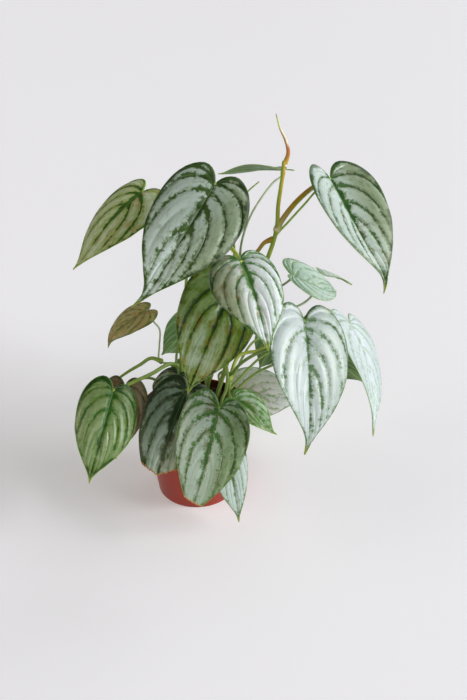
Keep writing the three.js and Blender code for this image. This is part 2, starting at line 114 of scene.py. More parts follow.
class Wire:
    # a socket inside a finish, so that sums on it are plain Python

    def __init__(self, finish, socket):
        self.finish = finish
        self.socket = socket

    def maths(self, operation, *others):
        return self.finish.node("Math", {"operation": operation}, dict(enumerate((self, *others))))

    def __add__(self, other):
        return self.maths("ADD", other)

    def __sub__(self, other):
        return self.maths("SUBTRACT", other)

    def __rsub__(self, other):
        return self.finish.node("Math", {"operation": "SUBTRACT"}, {0: other, 1: self})

    def __mul__(self, other):
        return self.maths("MULTIPLY", other)

    def __truediv__(self, other):
        return self.maths("DIVIDE", other)

    __radd__ = __add__
    __rmul__ = __mul__

    def power(self, other):
        return self.maths("POWER", other)

    def size(self):
        return self.maths("ABSOLUTE")

    def least(self, other):
        return self.maths("MINIMUM", other)

    def most(self, other):
        return self.maths("MAXIMUM", other)

    def away(self):
        # distance from the nearest whole number
        return self.maths("PINGPONG", 0.5)

    def rise(self, low, high):
        # 0 at low, 1 at high, smooth between
        settings = {"interpolation_type": "SMOOTHSTEP"}
        return self.finish.node("MapRange", settings, {0: self, 1: low, 2: high})

    def fall(self, low, high):
        return 1 - self.rise(low, high)


class Finish:
    # one material, built on the Principled shader

    def __init__(self, name, **fixed):
        self.material = bpy.data.materials.new(name)
        self.material.use_nodes = True
        self.tree = self.material.node_tree
        self.shader = self.tree.nodes["Principled BSDF"]
        for key, value in fixed.items():
            self.feed(self.shader.inputs[key.replace("_", " ")], value)

    def feed(self, socket, value):
        if isinstance(value, Wire):
            self.tree.links.new(value.socket, socket)
        else:
            socket.default_value = paint(value) if isinstance(value, str) else value

    def node(self, kind, settings, sockets, output=0):
        made = self.tree.nodes.new("ShaderNode" + kind)
        for key, value in settings.items():
            setattr(made, key, value)
        for key, value in sockets.items():
            self.feed(made.inputs[key], value)
        return Wire(self, made.outputs[output])

    def mix(self, factor, first, second, blend="MIX"):
        settings = {"data_type": "RGBA", "blend_type": blend}
        return self.node("Mix", settings, {0: factor, 6: first, 7: second}, 2)

    def join(self, x, y, z=0.0):
        return self.node("CombineXYZ", {}, {0: x, 1: y, 2: z})

    def split(self, vector):
        parts = self.node("SeparateXYZ", {}, {0: vector})
        return [Wire(self, socket) for socket in parts.socket.node.outputs]

    def grain(self, place, scale, detail=2.0, rough=0.5):
        sockets = {"Vector": place, "Scale": scale, "Detail": detail, "Roughness": rough}
        return self.node("TexNoise", {}, sockets)

    def mark(self, name):
        return self.node("Attribute", {"attribute_name": name}, {}, "Vector")

    def tone(self, name):
        return self.node("Attribute", {"attribute_name": name}, {}, "Color")

    def place(self):
        # object coordinates in millimetres
        spot = self.node("TexCoord", {}, {}, "Object")
        return self.node("VectorMath", {"operation": "SCALE"}, {0: spot, "Scale": 1 / mm})

    def finish(self, colour, rough, height=None, strength=0.4, depth=0.0004):
        self.feed(self.shader.inputs["Base Color"], colour)
        self.feed(self.shader.inputs["Roughness"], rough)
        if height is not None:
            bump = self.node("Bump", {}, {"Strength": strength, "Distance": depth, "Height": height})
            self.feed(self.shader.inputs["Normal"], bump)
        return self.material


leafShape = {
    "thickness": 0.5,
    "columns": 20,         # cells from the midrib to the margin
    "rowsPerField": 10,    # cells between two side veins
    "scallop": 0.012,      # how far the margin draws in at each side vein, in half widths
    "swell": 2.1,          # height of the fields between the veins, per unit of a leaf's quilt
    "crease": 0.1,         # depth of the fine line along each field
    "ripple": 0.6,         # height of the waves along the margin
    "midribGroove": 0.7,
    "grooveWidth": 1.5,
    "unevenStart": 0.03,   # how far a side vein's start and end stray, as shares
    "unevenEnd": 0.012,
    "bandForce": (0.35, 1.25),    # how much the dark bands differ in width
    # outline of half a leaf: x in half widths, y in lengths from the petiole joint to the tip
    "plain": [
        (0, 0), (0.07, -0.05), (0.2, -0.1), (0.38, -0.125), (0.58, -0.1), (0.78, -0.035), (0.93, 0.07),
        (1, 0.21), (0.985, 0.36), (0.88, 0.51), (0.68, 0.65), (0.42, 0.78), (0.2, 0.88), (0.075, 0.945),
        (0.03, 0.975), (0, 1),
    ],
    "drip": [
        (0, 0), (0.07, -0.05), (0.2, -0.1), (0.38, -0.125), (0.58, -0.1), (0.78, -0.04), (0.93, 0.055),
        (1, 0.185), (0.985, 0.32), (0.88, 0.455), (0.68, 0.58), (0.42, 0.7), (0.2, 0.79), (0.085, 0.86),
        (0.035, 0.93), (0, 1),
    ],
    # side veins: y where each leaves the midrib, x and y that it bows towards, its end along the outline
    "veins": [
        (0, 0, 0, 0), (0, 0.45, -0.12, 0.36), (0, 0.95, -0.03, 0.54), (0.06, 0.86, 0.16, 0.65),
        (0.21, 0.62, 0.3, 0.74), (0.37, 0.4, 0.5, 0.81), (0.57, 0.2, 0.68, 0.885), (1, 0, 1, 1),
    ],
    "midrib": "#8fa873", "tip": "#98a848",
    "under": ("#4f7038", "#68895a"), "underVein": "#93ad6a", "edge": ("#7f9f45", "#9db765"),
}
fieldCount = len(leafShape["veins"]) - 1
sideVeins = range(1, fieldCount)

# silver: crown of each field; field: round it; vein, shade: the dark bands; warm: tint beside the veins
# band, rib, margin: widths of the dark parts in mm; patchy, ragged: how uneven they and their edges are
# soft: width of the change from field to silver; warmth: strength of the warm tint; cover: share of silver;
# specks: strength of the small dots; open: how much thinner the bands get towards the tip
# slot: the record's material slot
toneParts = ("silver", "field", "vein", "shade", "warm", "rim", "band", "rib", "margin", "patchy",
             "ragged", "soft", "warmth", "cover", "specks", "open", "slot")
leafTones = {
    "silver": ("#b5bebb", "#98a995", "#54724c", "#6b875a", "#a6ae94", "#56733c",
               0.45, 0.9, 0.8, 5, 10, 2.4, 0.5, 0.85, 1.0, 0.7, "leaf_silver"),
    "mint": ("#c4d0c7", "#8a9e84", "#2c5420", "#42682c", "#94886a", "#5c7a3c",
             0.6, 2.2, 1.1, 6, 9, 2.8, 0.5, 0.8, 0.8, 0.9, "leaf_silver"),
    "green": ("#b5c4b0", "#7d916c", "#2a430f", "#3e591d", "#8b7e5c", "#82a04c",
              0.85, 1.6, 1.2, 6, 10, 3.0, 0.6, 0.75, 0.8, 0.9, "leaf_green"),
    "fresh": ("#8a9d6c", "#5a7a2c", "#184200", "#2e620a", "#728038", "#86a838",
              1.0, 2.2, 1.3, 5, 7, 3.4, 0.5, 0.75, 0.3, 0.7, "leaf_green"),
    "olive": ("#b6c8aa", "#7e9034", "#264806", "#375a0a", "#94832e", "#7c8c36",
              1.0, 1.2, 0.9, 3, 4, 4.4, 0.7, 0.65, 0.3, 0.9, "leaf_olive"),
    "bronze": ("#b6b094", "#a89a5c", "#727038", "#7c763c", "#b28a5c", "#5f7438",
               0.6, 0.8, 0.6, 4, 7, 3.0, 0.8, 0.45, 0.4, 0.3, "leaf_bronze"),
    "dark": ("#a6b6a6", "#606a48", "#1c3212", "#284018", "#786c48", "#4c6030",
             0.9, 1.8, 1.5, 4, 7, 4.0, 0.9, 0.75, 0.3, 0.5, "leaf_dark"),
    "pale": ("#ccd8d0", "#adbfaa", "#90ab88", "#97b486", "#b8c2a0", "#8fa878",
             0.45, 0.7, 0.8, 5, 9, 2.4, 0.5, 0.85, 0.8, 0.5, "leaf_silver"),
}
leafTones = {name: dict(zip(toneParts, values)) for name, values in leafTones.items()}


# one leaf: joint and tip are the ends of its blade, face the azimuth and elevation that its upper side faces
# droop: bend along the blade; fold, curl: how its halves rise and roll over; twist: turn from joint to tip
# sweep, hook: sideways bow of the middle and of the tip in mm; skew: how much wider the left half is
# drip: 0 for a short tip, 1 for a long one; quilt: height of the fields between the veins
# shown: side veins with a dark band, left half and right half; warmSide: 1 or -1, the left or right half
# tints: painted shade over the left and right half; dusk: painted shade over the lower part, by the joint;
# looks: what differs from the tone
# cut: where a torn end crosses each half, as shares of the length, its scar and how ragged it is
def blade(name, joint, tip, face, width, droop, fold=12, curl=40, **more):
    plain = {"twist": 0, "sweep": 0, "skew": 0, "hook": 0, "drip": 0.3, "shown": (sideVeins, sideVeins),
             "tints": (), "looks": {}}
    return {**plain, "name": name, "joint": joint, "tip": tip, "face": face, "width": width,
            "droop": droop, "fold": fold, "curl": curl, **more}


leaves = [
    blade("leaf_upper_left", (-41, 68, 238), (-93, 21, 192), (-137, 46), 55, 32, 7, 38, twist=-15,
          sweep=-1.5, skew=-0.03, hook=-3, drip=0.2, quilt=0.8, tone="olive", shown=((2, 3, 4), (3, 4)),
          warmSide=-1,
          looks=dict(silver="#c6d0b2", field="#a1aa62", vein="#2c5206", shade="#3f660c", warm="#b09c66",
                     warmth=0.8, soft=5, band=1.8, rib=2.0, rim="#7c9c24", specks=0.7)),
    blade("leaf_upper_large", (17, 35, 257), (-43, -42, 193), (-108, 37), 75, 34, 8, 33, twist=-1, sweep=-6,
          skew=0.02, hook=-4.5, drip=0.6, quilt=1.6, tone="green", shown=((1, 2, 3, 5), (1, 2, 3, 4, 5)),
          warmSide=-1, tints=("#ffffff", "#c9ceb2"), dusk="#dadcd8",
          looks=dict(silver="#ccd8d0", field="#8c9f7e", vein="#2f4c14", shade="#456224", rim="#4c6a2c",
                     band=1.3, margin=1.9, rib=2.4, warmth=0.35, specks=1.2, open=0.9)),
    blade("leaf_top_back", (71, 108, 241), (18.5, 88, 245), (95, 60), 44, 12, 5, 8, twist=-29, quilt=0.5,
          tone="green"),
    blade("leaf_upper_right", (105, 51, 255), (143, -11, 188), (-50, 25), 67, 22, 18, 8, twist=-3, sweep=2,
          skew=-0.06, hook=-6.5, drip=0.7, quilt=1.1, tone="mint", slot="leaf_green",
          shown=((2, 3, 4, 5), (2, 3, 4, 5)), tints=("#dee3e0", "#babf9f")),
    blade("leaf_centre", (36, -9, 214), (55, -78, 178), (-75, 45), 54.5, 44, 11, 48, twist=12, skew=0.07,
          drip=0, quilt=1.6, tone="mint", shown=((1, 2, 3, 4), (1, 2, 3, 4)), warmSide=1,
          tints=("#c0c0a4", "#ffffff"),
          looks=dict(silver="#e2eae4", field="#9cb196", vein="#487432", shade="#5a8642", warm="#a88c6c",
                     warmth=0.8, ragged=5, specks=0.5)),
    blade("leaf_centre_left", (29, 10, 187), (-4, -40, 117), (-88, 27), 63, 35, 16, 38, twist=-3,
          sweep=-0.5, skew=0.03, hook=0.5, drip=0.2, quilt=1.3, tone="olive", shown=((3, 4), (3, 4)),
          tints=("#f6f9f2", "#fafdb6"), dusk="#bac692",
          looks=dict(silver="#bccbb6", vein="#1f4204", band=1.7, rib=1.4, ragged=4.5, patchy=2.5,
                     cover=0.62, warmth=0.8, warm="#9a8430", specks=0.4, rim="#82a03c")),
    blade("leaf_bronze_left", (-40, 48, 142), (-72, 31, 116), (-144, 38), 31, 37, 15, 42, twist=-7, sweep=2,
          hook=3, drip=0, quilt=0.4, tone="bronze"),
    blade("leaf_behind_left", (-1, 55, 127), (-29, 36, 106), (70, 10), 36, 20, quilt=0.7, tone="green"),
    blade("leaf_right", (83, -31, 176), (82, -92, 99), (-61, 10), 69, 27, 19, 36, twist=7, skew=-0.03,
          hook=-2, drip=0.5, quilt=1.15, tone="silver", shown=((3,), (2, 3, 4, 5)),
          tints=("#ffffff", "#eef0ec"),
          looks=dict(silver="#bfc8c5", field="#93a690", vein="#4c6b43", shade="#62805a", rim="#3f5c22",
                     band=0.35, patchy=6.5, ragged=12, soft=2.8, cover=0.8, specks=1.15)),
    blade("leaf_far_right", (126, 42, 133), (141, -32, 72), (-29, 14), 66, 39, 7, 19, twist=13, sweep=0.5,
          skew=0.03, hook=1.5, drip=1, quilt=0.9, tone="pale", tints=("#e8ece8", "#e4e8e4"),
          looks=dict(silver="#c8d2d2", field="#b0c0b6", vein="#9fb4a2", shade="#a5b8a4", warm="#b4c2b0",
                     rim="#93aa88", specks=0.4)),
    blade("leaf_behind_right", (106, 52, 100), (143, 42, 74), (60, -5), 34, 20, quilt=0.7, tone="green"),
    blade("leaf_back_right", (83, 112, 142), (125, 135, 115), (-108, 64), 42, 32, 16, 26, twist=2, sweep=9,
          skew=-0.13, hook=1.5, drip=0, quilt=0.7, tone="pale",
          looks=dict(silver="#a4b8a8", field="#7d9880", vein="#5f8058", shade="#7c9a78", specks=0.4)),
    blade("leaf_back_far", (112, 158, 125), (140, 145, 116), (60, 62), 38, 15, quilt=0.4, tone="pale"),
    blade("leaf_lower_left", (-61, -32, 116), (-78, -79, 62), (-86, 27), 52, 52, 4, 53, twist=-20,
          skew=-0.02, hook=0.5, quilt=1.2, tone="fresh", shown=((2, 3, 4), (2, 3, 4))),
    blade("leaf_bronze_low", (-57, 3, 97), (-64, -27, 46), (-100, 25), 42, 25, quilt=0.6, tone="bronze",
          looks=dict(silver="#9c8d78", field="#857056", vein="#4c442a", shade="#5a4c30", warm="#8a6048")),
    blade("leaf_torn", (-6, -15, 105), (-34, -78, 45), (-104, 25), 58, 47, 2, 39, twist=-12, sweep=-0.5,
          hook=-1.5, drip=0, quilt=1.1,
          cut=dict(left=0.73, middle=0.78, right=0.65, scar="#b8803c", jag=0.003), tone="dark",
          shown=((2, 3, 4), (2, 4)), warmSide=-1, tints=("#f2f6f4", "#dccba6"), dusk="#c8d0ca",
          looks=dict(silver="#b4c2b2", field="#59663a", band=0.8, rib=3.0, margin=2.4, soft=3.6, ragged=5,
                     cover=0.7, open=0.9)),
    blade("leaf_front_cut", (20, -47, 110), (-2, -98, 43), (-119, 19), 60, 43, 6, 33, twist=-26, sweep=-4.5,
          skew=0.05, hook=-0.5, drip=0, quilt=1.3,
          cut=dict(left=0.82, middle=0.845, right=0.85, scar="#d6a468", jag=0.0015), tone="green",
          shown=((1, 2, 3, 4), (1, 2, 3, 4)), tints=("#ffffff", "#bcc4a0"),
          looks=dict(silver="#c6d8ca", field="#8ba27c", vein="#416c2a", shade="#52803a", rim="#93b24c",
                     margin=0.9)),
    # leaf_low_right's near-white colours are painted light, standing in for the light that shines through it
    # from behind
    blade("leaf_low_right", (32, 48, 64), (88, 43, 55), (-84, 45), 47, 34, 10, 36, drip=0, quilt=0.7,
          tone="pale", looks=dict(silver="#fbfffb", field="#f0f6ee", vein="#b4c8ae", shade="#c0d2ba")),
    blade("leaf_small_right", (31, -9, 93), (65, -31, 73), (-46, 55), 30, 35, 15, 30, twist=7, hook=2,
          quilt=0.7, tone="green",
          looks=dict(silver="#bed2b9", field="#8faa7c", vein="#528030", shade="#649040", patchy=4, soft=4)),
    blade("leaf_pot_right", (23, -42, 81), (35, -64, 12), (-62, 12), 33, 30, sweep=1, quilt=0.8,
          tone="silver", shown=((1, 2, 4), (1, 2, 4)),
          looks=dict(silver="#b2beb8", field="#9cb098", shade="#6e8c58", ragged=6, specks=0.5)),
    blade("leaf_low_inner", (-14, 11, 103), (-30, -17, 88), (-115, 45), 33, 20, quilt=0.7, tone="dark"),
    blade("leaf_inner_right", (72, 84, 103), (53, 70, 71), (55, 30), 36, 25, quilt=0.5, tone="pale"),
    blade("leaf_rear_top", (21, 131, 200), (-11, 121, 145), (110, 30), 52, 30, quilt=1.1, tone="mint"),
    blade("leaf_rear_middle", (24, 110, 129), (7, 109, 65), (80, 30), 50, 35, quilt=1.1, tone="green"),
    blade("leaf_rear_right", (86, 91, 94), (107, 75, 27), (55, 28), 52, 35, quilt=1.1, tone="green"),
    blade("leaf_rear_low", (-4, 60, 84), (-16, 66, 26), (100, 20), 42, 30, quilt=0.9, tone="silver"),
]
leafByName = {leaf["name"]: leaf for leaf in leaves}


def unit(vector):
    vector = np.asarray(vector, float)
    return vector / np.linalg.norm(vector)


def alongLine(points, t):
    # a smooth line through evenly spaced points, t from 0 to 1
    points = np.asarray(points, float)
    place = np.clip(t, 0, 1) * (len(points) - 1)
    i = np.minimum(place.astype(int), len(points) - 2)
    w = (place - i)[:, None]
    a, b, c, d = (points[np.clip(i + k, 0, len(points) - 1)] for k in (-1, 0, 1, 2))
    m, n = (c - a) / 2, (d - b) / 2
    return (2 * b - 2 * c + m + n) * w ** 3 + (3 * c - 3 * b - 2 * m - n) * w ** 2 + m * w + b


def leafAxes(leaf):
    joint = np.array(leaf["joint"], float)
    chord = np.array(leaf["tip"], float) - joint
    along = unit(chord)
    azimuth, elevation = np.radians(leaf["face"])
    level = math.cos(elevation)
    up = np.array([math.cos(azimuth) * level, math.sin(azimuth) * level, math.sin(elevation)])
    up = unit(up - up @ along * along)
    return joint, along, up, np.cross(along, up), np.linalg.norm(chord)


def bladeTurn(leaf, y):
    # centre line, side and normal of the blade at y
    joint, along, up, across, span = leafAxes(leaf)
    bend = math.radians(leaf["droop"])
    reach = span / 2 / math.sin(bend / 2)
    angle = (bend / 2 - bend * y)[:, None]
    turn = np.radians(leaf["twist"] * (y - 0.5))[:, None]
    forward = reach * (math.sin(bend / 2) - np.sin(angle))
    centre = joint + forward * along + reach * (np.cos(angle) - math.cos(bend / 2)) * up
    normal = np.cos(angle) * up - np.sin(angle) * along
    side = np.cos(turn) * across + np.sin(turn) * normal
    return centre, side, np.cos(turn) * normal - np.sin(turn) * across


def bladePoints(leaf, x, y, relief):
    fold, curl = math.radians(leaf["fold"]), math.radians(leaf["curl"])
    half = leaf["width"] / 2 * (1 + leaf["skew"] * np.sign(x))
    h = np.abs(x)
    sway = leaf["sweep"] * np.sin(np.pi * np.maximum(y, -0.2))
    sway = sway + leaf["hook"] * np.sin(np.pi * np.clip(y, 0, 1) ** 4)
    out = np.sign(x) * half * (math.sin(fold) - np.sin(fold - curl * h)) / curl + sway
    lift = half * (np.cos(fold - curl * h) - math.cos(fold)) / curl + relief
    centre, side, normal = bladeTurn(leaf, y)
    return centre + out[:, None] * side + lift[:, None] * normal


def veinCurve(outline, veins, t, step):
    # t from the midrib to the margin, along side vein number step
    start, bowX, bowY, end = (np.interp(step, range(len(veins)), veins[:, k]) for k in range(4))
    x, y = alongLine(outline, end).T
    return np.stack([2 * t * (1 - t) * bowX + t ** 2 * x,
                     (1 - t) ** 2 * start + 2 * t * (1 - t) * bowY + t ** 2 * y], 1)


def leafSheet(leaf, number):
    look = np.random.default_rng(number + 20)
    drip = leaf["drip"]
    outline = np.array(leafShape["plain"]) * (1 - drip) + np.array(leafShape["drip"]) * drip
    size = np.array([leaf["width"] / 2, leafAxes(leaf)[4]])
    halves = []
    for _ in range(2):
        veins = np.array(leafShape["veins"], float)
        stray = leafShape["unevenStart"]
        veins[3:-1, 0] += look.uniform(-stray, stray, fieldCount - 3)
        stray = leafShape["unevenEnd"]
        veins[1:-1, 3] += look.uniform(-stray, stray, fieldCount - 1)
        halves.append((veins, look.uniform(*leafShape["bandForce"], fieldCount + 1)))
    rim = alongLine(outline, np.linspace(0, 1, 240)) * size
    wave = look.uniform(0, 6.28, 4)

    def shape(u, v):
        across = 2 * u - 1
        t, step = np.abs(across), v * fieldCount
        flat, vein, force = np.empty((len(u), 2)), np.empty(len(u)), np.empty(len(u))
        for shown, half, (veins, strength) in zip(leaf["shown"], (across > 0, across <= 0), halves):
            flat[half] = veinCurve(outline, veins, t[half], step[half])
            lines = [veinCurve(outline, veins, np.linspace(0, 1, 90), np.full(90, k)) for k in shown]
            away = flat[half][:, None] * size - np.vstack(lines) * size
            vein[half] = np.min(np.hypot(away[..., 0], away[..., 1]), axis=1)
            force[half] = np.interp(step[half], range(fieldCount + 1), strength)
        x, y = flat.T
        away = flat[:, None] * size - rim
        edge = np.min(np.hypot(away[..., 0], away[..., 1]), axis=1)
        x = x * (1 - leafShape["scallop"] * (1 + np.cos(2 * np.pi * step)) / 2 * t ** 6)
        crown = np.abs(np.sin(np.pi * step)) ** 0.8
        crown = crown - leafShape["crease"] * np.exp(-(((step % 1 - 0.5) / 0.08) ** 2))
        swell = leaf["quilt"] * crown * t ** 0.6 * (1 - t) ** 0.45 * leafShape["swell"]
        swell = swell * np.clip(1.3 - y, 0.5, 1)
        groove = leafShape["midribGroove"] * np.exp(-((x * size[0] / leafShape["grooveWidth"]) ** 2))
        groove = groove * np.clip(8 * (1 - y), 0, 1)
        ripple = leafShape["ripple"] * t ** 3 * np.sin(8 * y + wave[0] + (across > 0) * wave[1])
        marks = {"blade": np.stack([np.sign(across) * x * size[0], y * size[1], edge], 1),
                 "veins": np.stack([vein, t * size[1], force], 1)}
        if "cut" in leaf:
            cut = leaf["cut"]
            wanted = np.where(across > 0, cut["left"], cut["right"])
            corner = np.interp(wanted, outline[8:, 1], outline[8:, 0])
            line = cut["middle"] + (wanted - cut["middle"]) * x / corner
            line = line + cut["jag"] * (np.sin(31 * across * x + wave[2]) + np.sin(67 * across * x))
            marks["torn"] = np.stack([(line - y) * size[1], y > line, 0 * y], 1)
            y = np.minimum(y, line)
        points = bladePoints(leaf, np.sign(across) * x, y, swell - groove + ripple)
        return points, marks

    rows = fieldCount * leafShape["rowsPerField"]
    return addSheet(leaf["name"] + "_blade", 2 * leafShape["columns"], rows, shape)


def leafFinish(leaf, number):
    tone = {**leafTones[leaf["tone"]], **leaf["looks"]}
    f = Finish(leaf["name"] + "_upper", Specular_IOR_Level=0.6,
               Specular_Tint=(0.96, 1, 0.84, 1), Subsurface_Weight=0.25,
               Subsurface_Radius=(0.7, 1, 0.4), Subsurface_Scale=0.002)
    step = f.split(f.node("UVMap", {"uv_map": "UVMap"}, {}))[1] * fieldCount
    x, y, edge = f.split(f.mark("blade"))
    vein, run, force = f.split(f.mark("veins"))
    flat = f.join(x, y, number * 7.3)
    ragged = f.grain(flat, 0.3, 5.0, 0.7) - 0.5
    blot = f.grain(flat, 0.1, 2.0) - 0.5
    cloud = f.grain(f.join(x, y, number * 3.7 + 40), 0.09, 2.0) - 0.5
    streak = f.grain(f.join(step * 5.0, run * 0.1, number * 3.1), 1.0, 3.0, 0.6) - 0.5
    speck = f.grain(flat, 0.9, 3.0, 0.6) - 0.5

    # dark bands on the side veins, the midrib and the margin
    length = leafAxes(leaf)[4]
    near = run.fall(0, length * 0.3)
    lobe = step.fall(0.8, 2.6)
    ahead = y.fall(length * 0.45, length * 0.95) * 0.75 + 0.25
    width = force * (near * 1.3 + 0.8) * ahead * tone["band"] + blot * tone["patchy"]
    fromVein = vein + ragged * tone["ragged"] - width
    fromVein = fromVein + y.rise(length * 0.58, length * 0.88) * tone["open"]
    splash = y.rise(-length * 0.05, length * 0.15) * y.fall(length * 0.25, length * 0.75)
    fromRib = x.size() + ragged * tone["ragged"] + blot * 4.0 - splash * tone["rib"] - 0.35
    fromEdge = edge + ragged * 8.0 + blot * 6.0 - (lobe * 1.8 + 0.9) * tone["margin"]
    nearest = fromVein.least(fromRib).least(fromEdge)
    bands = nearest.fall(-0.35, 0.35)
    dots = (speck - nearest.most(0) * 0.03).rise(0.1, 0.15) * nearest.fall(0.5, 4.0)
    dots = dots * (tone["specks"] * 0.85)
    spots = f.grain(f.join(x, y, number * 5.9 + 11), 0.24, 4.0, 0.6) - 0.5
    spots = (spots - nearest.most(0) * 0.02).rise(0.1, 0.13)

    # silver crowns between them
    core = nearest.rise(-0.3, tone["soft"])
    gleam = (core * 0.6 + blot * 1.4 + streak * 1.6 + tone["cover"] - 0.5).rise(0.0, 1.0)
    colour = f.mix(gleam, tone["field"], tone["silver"])
    warmth = cloud.rise(-0.04, 0.14) * core.fall(0.1, 1.0) * tone["warmth"]
    if "warmSide" in leaf:
        warmth = warmth * (x * leaf["warmSide"]).rise(-4, 4)
    colour = f.mix(warmth, colour, tone["warm"])
    half = (step + 0.5).away() * 2 + streak * 0.1
    colour = f.mix(half.fall(0.02, 0.12) * 0.18, colour, tone["field"])
    colour = f.mix(streak.rise(0.08, 0.3) * 0.2, colour, tone["field"])
    dark = f.mix((blot * 2.5 + 0.5).rise(0.2, 0.8), tone["vein"], tone["shade"])
    colour = f.mix(bands.most(dots).most(spots * (tone["specks"] * 0.9)), colour, dark)
    colour = f.mix(x.size().fall(0.1, 0.4) * (1 - y / length) * 0.6, colour, leafShape["midrib"])
    colour = f.mix(edge.fall(0.35, 0.95) * 0.85, colour, tone["rim"])
    colour = f.mix(y.rise(length * 0.9, length * 0.98), colour, leafShape["tip"])
    if "cut" in leaf:
        torn = f.split(f.mark("torn"))[0]
        colour = f.mix((torn + ragged * 1.5).fall(0.4, 1.2), colour, leaf["cut"]["scar"])
    # painted shade: each half of the blade is darkened and tinted as the light falls on it
    reach = leaf["width"] * 0.3
    for side, tint in zip((x.rise(0, reach), x.fall(-reach, 0)), leaf["tints"]):
        colour = f.mix(side, colour, tint, "MULTIPLY")
    # painted shade over the part of the blade near the joint, where the leaves above shade it
    if "dusk" in leaf:
        colour = f.mix(y.fall(length * 0.2, length * 0.85), colour, leaf["dusk"], "MULTIPLY")
    height = streak * 0.5 + f.grain(flat, 2.6, 2.0) * 0.3 - bands * 0.25 + vein.fall(0, 0.8) * -0.5
    return f.finish(colour, 0.3 + bands * 0.1 + blot * 0.3, height, 0.4, 0.0005)


def underFinish():
    # the plain under sides, paler along the veins
    f = Finish("leaf_under", Specular_IOR_Level=0.4)
    x = f.split(f.mark("blade"))[0]
    cloud = f.grain(f.place(), 0.15, 2.0)
    veins = f.split(f.mark("veins"))[0].fall(0.15, 0.7).most(x.size().fall(0.4, 1.0))
    colour = f.mix(cloud, *leafShape["under"])
    colour = f.mix(veins * 0.7, colour, leafShape["underVein"])
    return f.finish(colour, 0.5, f.grain(f.place(), 2.0) * 0.2 - veins, 0.3, 0.0005)


def rimFinish():
    f = Finish("leaf_rim")
    cloud = f.grain(f.place(), 0.3)
    return f.finish(f.mix(cloud, *leafShape["edge"]), 0.4, cloud, 0.1)


def trimTear(sheet):
    # drop the faces past the tear, where the blade was laid flat onto it
    mesh = sheet.data
    past = [mark.vector[1] > 0.5 for mark in mesh.attributes["torn"].data]
    pickOnly(sheet)
    setMode("EDIT")
    bpy.ops.mesh.select_mode(type="FACE")
    bpy.ops.mesh.select_all(action="DESELECT")
    setMode("OBJECT")
    for face in mesh.polygons:
        face.select = all(past[k] for k in face.vertices)
    setMode("EDIT")
    bpy.ops.mesh.delete(type="FACE")
    bpy.ops.mesh.select_mode(type="VERT")
    setMode("OBJECT")


def addLeaf(leaf, number, shared):
    sheet = leafSheet(leaf, number)
    if "cut" in leaf:
        trimTear(sheet)
    tidyMesh(sheet, outward=False)
    for material in (leafFinish(leaf, number), *shared):
        sheet.data.materials.append(material)
    addModifier(sheet, "SOLIDIFY", thickness=leafShape["thickness"] * mm, offset=0,
                material_offset=1, material_offset_rim=2)
    smoothPiece(sheet, 50)
    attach(sheet, "root")
    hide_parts(leaf["name"])


sharedFinishes = (underFinish(), rimFinish())
for number, leaf in enumerate(leaves):
    addLeaf(leaf, number, sharedFinishes)
print("leaves made:", len(leaves))


stemShape = {
    "sides": 16,
    "ringStep": 1.4,
    "foot": 58,            # a stem stands straight in the soil between these two heights
    "straight": 74,
    "flareLength": 5,
    "jointSwell": 0.3,     # where a petiole meets its blade
    "jointLength": 3.5,
    "knuckleSwell": 0.28,
    "knuckleLength": 2.2,
    "cloud": "#6b6a2a", "fibre": "#b5c070", "speck": "#6f4f2a",
}
stemTones = {
    "leafGreen": ["#7f9c3e", "#8fae4a"], "fresh": ["#8aa843", "#9cbb4c"], "deep": ["#5f7f35", "#7b9a45"],
    "main": ["#6f8a34", "#6f8a34", "#6f8a34", "#74902c", "#7c9a24", "#849c1c", "#98a618", "#c4a60c",
             "#d09a10"],
    "spike": ["#c8b020", "#c88c1c", "#c47424", "#bc622c", "#b25a2e", "#a85a2c", "#b0843c", "#c4dc50",
              "#c4dc50", "#84602c"],
    "branch": ["#f0dcb8", "#dcb468", "#c8980a", "#bc8a04", "#b47e04", "#ac7808"],
    "sheath": ["#c6d43e", "#dcec60"], "pale": ["#a9b98e", "#b9c8a2"], "bud": ["#a3b03e", "#b4c24e"],
    "stub": ["#b0800c", "#bc8c18", "#a4b04a"], "bright": ["#a2c44c", "#b0d45c"],
}


# one stem, petiole or growing tip: path is its centre line, radius its two ends, leaf the blade it carries
# flare: how much thicker the start is; taper: how much thinner a free end is; knuckles: shares of the length
# lean: how far it leans as it meets the blade; second: another colour on one side, a painted highlight on
# the spike
def shoot(path, radius=(1.2, 1), tone="leafGreen", **more):
    plain = {"stem": False, "flare": 0.55, "taper": 0.35, "knuckles": (), "lean": 0}
    return {**plain, "path": path, "radius": radius, "tone": tone, **more}


